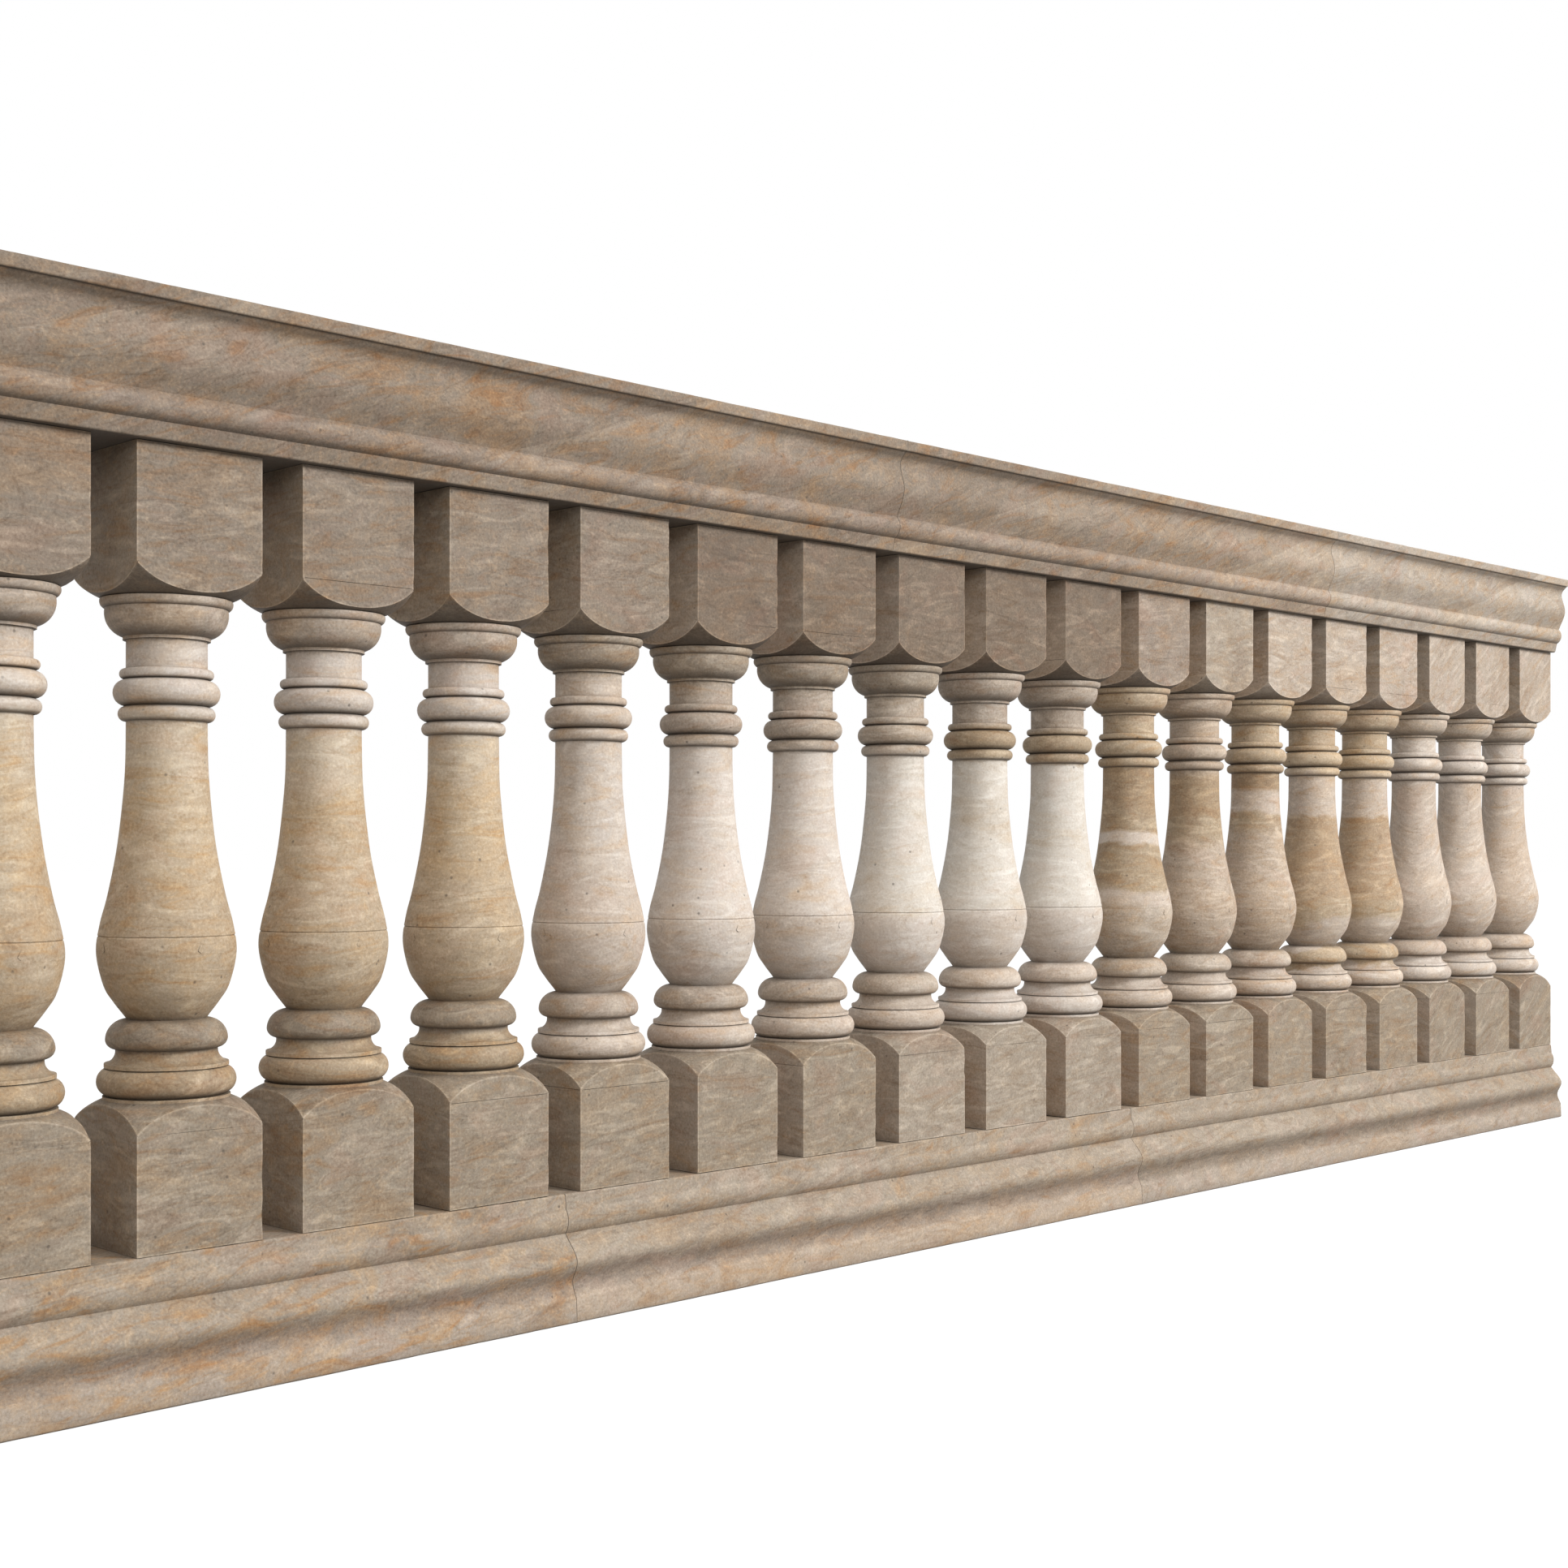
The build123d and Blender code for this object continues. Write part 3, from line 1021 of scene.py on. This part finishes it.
@dataclass(frozen=True)
class Lamp:
    """Square area lamp, in metres and watts."""

    name: str
    place: tuple[float, float, float]
    target: tuple[float, float, float]
    size: float
    power: float

    def hang(self) -> None:
        """Adds the lamp to the scene, turned to its target."""
        data = bpy.data.lights.new(self.name, "AREA")
        data.size = self.size
        data.energy = self.power
        lamp = bpy.data.objects.new(self.name, data)
        lamp.location = self.place
        way = Vector(self.target) - Vector(self.place)
        lamp.rotation_euler = way.to_track_quat("-Z", "Y").to_euler()
        bpy.context.scene.collection.objects.link(lamp)


@dataclass
class Studio:
    """White floor and surround, soft lamps and the camera."""

    eye: tuple[float, float, float] = (-2.2298, -1.7698, 0.5)
    yaw_deg: float = -45.0
    sensor_mm: float = 36.0
    lens_mm: float = 47.255
    shift_right: float = 0.0009
    shift_up: float = 0.0412
    floor_reach_m: float = 40.0
    paper: float = 0.24
    paper_glow: float = 0.9
    surround: float = 0.55
    lamps: tuple[Lamp, ...] = (
        Lamp("key", (1.5, -4.4, 3.2), (-0.2, 0.0, 0.5), 1.8, 220.0),
        Lamp("fill", (-2.4, -4.4, 2.6), (-0.4, 0.0, 0.5), 1.2, 45.0),
        Lamp("end", (3.4, -1.7, 2.2), (1.0, 0.0, 0.5), 1.2, 12.0),
    )

    def build(self) -> None:
        """Builds floor, world, lamps and camera in turn."""
        self.floor()
        self.world()
        for lamp in self.lamps:
            lamp.hang()
        self.camera()

    def seen(self, tree: bpy.types.NodeTree) -> bpy.types.NodeSocket:
        """Adds nodes that give 1 for rays from the eye, straight, mirrored or through glass, and else 0.

        Args:
            tree: node tree to add to.

        Returns:
            The socket that gives 1 or 0.
        """
        path = add_node(tree, "ShaderNodeLightPath")
        either = add_node(tree, "ShaderNodeMath", {
            0: path.outputs["Is Camera Ray"], 1: path.outputs["Is Glossy Ray"],
        }, operation="MAXIMUM")
        return add_node(tree, "ShaderNodeMath", {
            0: either.outputs[0], 1: path.outputs["Is Transmission Ray"],
        }, operation="MAXIMUM").outputs[0]

    def floor(self) -> None:
        """Lays a white floor that keeps the shadow and is white to the eye."""
        mesh = bpy.data.meshes.new("studio_floor")
        shape = bmesh.new()
        bmesh.ops.create_grid(shape, x_segments=1, y_segments=1, size=self.floor_reach_m)
        shape.to_mesh(mesh)
        shape.free()
        floor = bpy.data.objects.new("studio_floor", mesh)
        bpy.context.scene.collection.objects.link(floor)
        paper = new_material("white_paper")
        tree = paper.node_tree
        glow = add_node(tree, "ShaderNodeMath", {
            0: self.seen(tree), 1: self.paper_glow,
        }, operation="MULTIPLY")
        matt = add_node(tree, "ShaderNodeBsdfDiffuse", {"Color": (self.paper, self.paper, self.paper, 1.0)})
        light = add_node(tree, "ShaderNodeEmission", {"Strength": glow.outputs[0]})
        both = add_node(tree, "ShaderNodeAddShader", {0: matt.outputs[0], 1: light.outputs[0]})
        add_node(tree, "ShaderNodeOutputMaterial", {"Surface": both.outputs[0]})
        mesh.materials.append(paper)

    def world(self) -> None:
        """White surround to the eye, softer as a light."""
        world = bpy.data.worlds.new("studio_white")
        bpy.context.scene.world = world
        world.use_nodes = True
        tree = world.node_tree
        tree.nodes.clear()
        strength = add_node(tree, "ShaderNodeMapRange", {
            "Value": self.seen(tree), "To Min": self.surround, "To Max": 1.0,
        })
        glow = add_node(tree, "ShaderNodeBackground", {
            "Color": (1.0, 1.0, 1.0, 1.0), "Strength": strength.outputs["Result"],
        })
        add_node(tree, "ShaderNodeOutputWorld", {"Surface": glow.outputs[0]})

    def camera(self) -> None:
        """Sets the camera level, at the balustrade's mid height and turned along the run."""
        data = bpy.data.cameras.new("eye")
        data.sensor_width = self.sensor_mm
        data.lens = self.lens_mm
        data.shift_x = self.shift_right
        data.shift_y = self.shift_up
        camera = bpy.data.objects.new("eye", data)
        camera.location = self.eye
        camera.rotation_euler = (math.radians(90), 0, math.radians(self.yaw_deg))
        bpy.context.scene.collection.objects.link(camera)
        bpy.context.scene.camera = camera


def main() -> None:
    """Builds the sub-assemblies in order."""
    logging.basicConfig(level=logging.INFO, format="%(name)s: %(message)s")
    bpy.context.scene.view_settings.view_transform = "Standard"
    mason = Mason()
    BalusterRow(mason).build()
    Course(mason, **BASE).build()
    Course(mason, **RAIL).build()
    Studio().build()


if __name__ == "__main__":
    main()
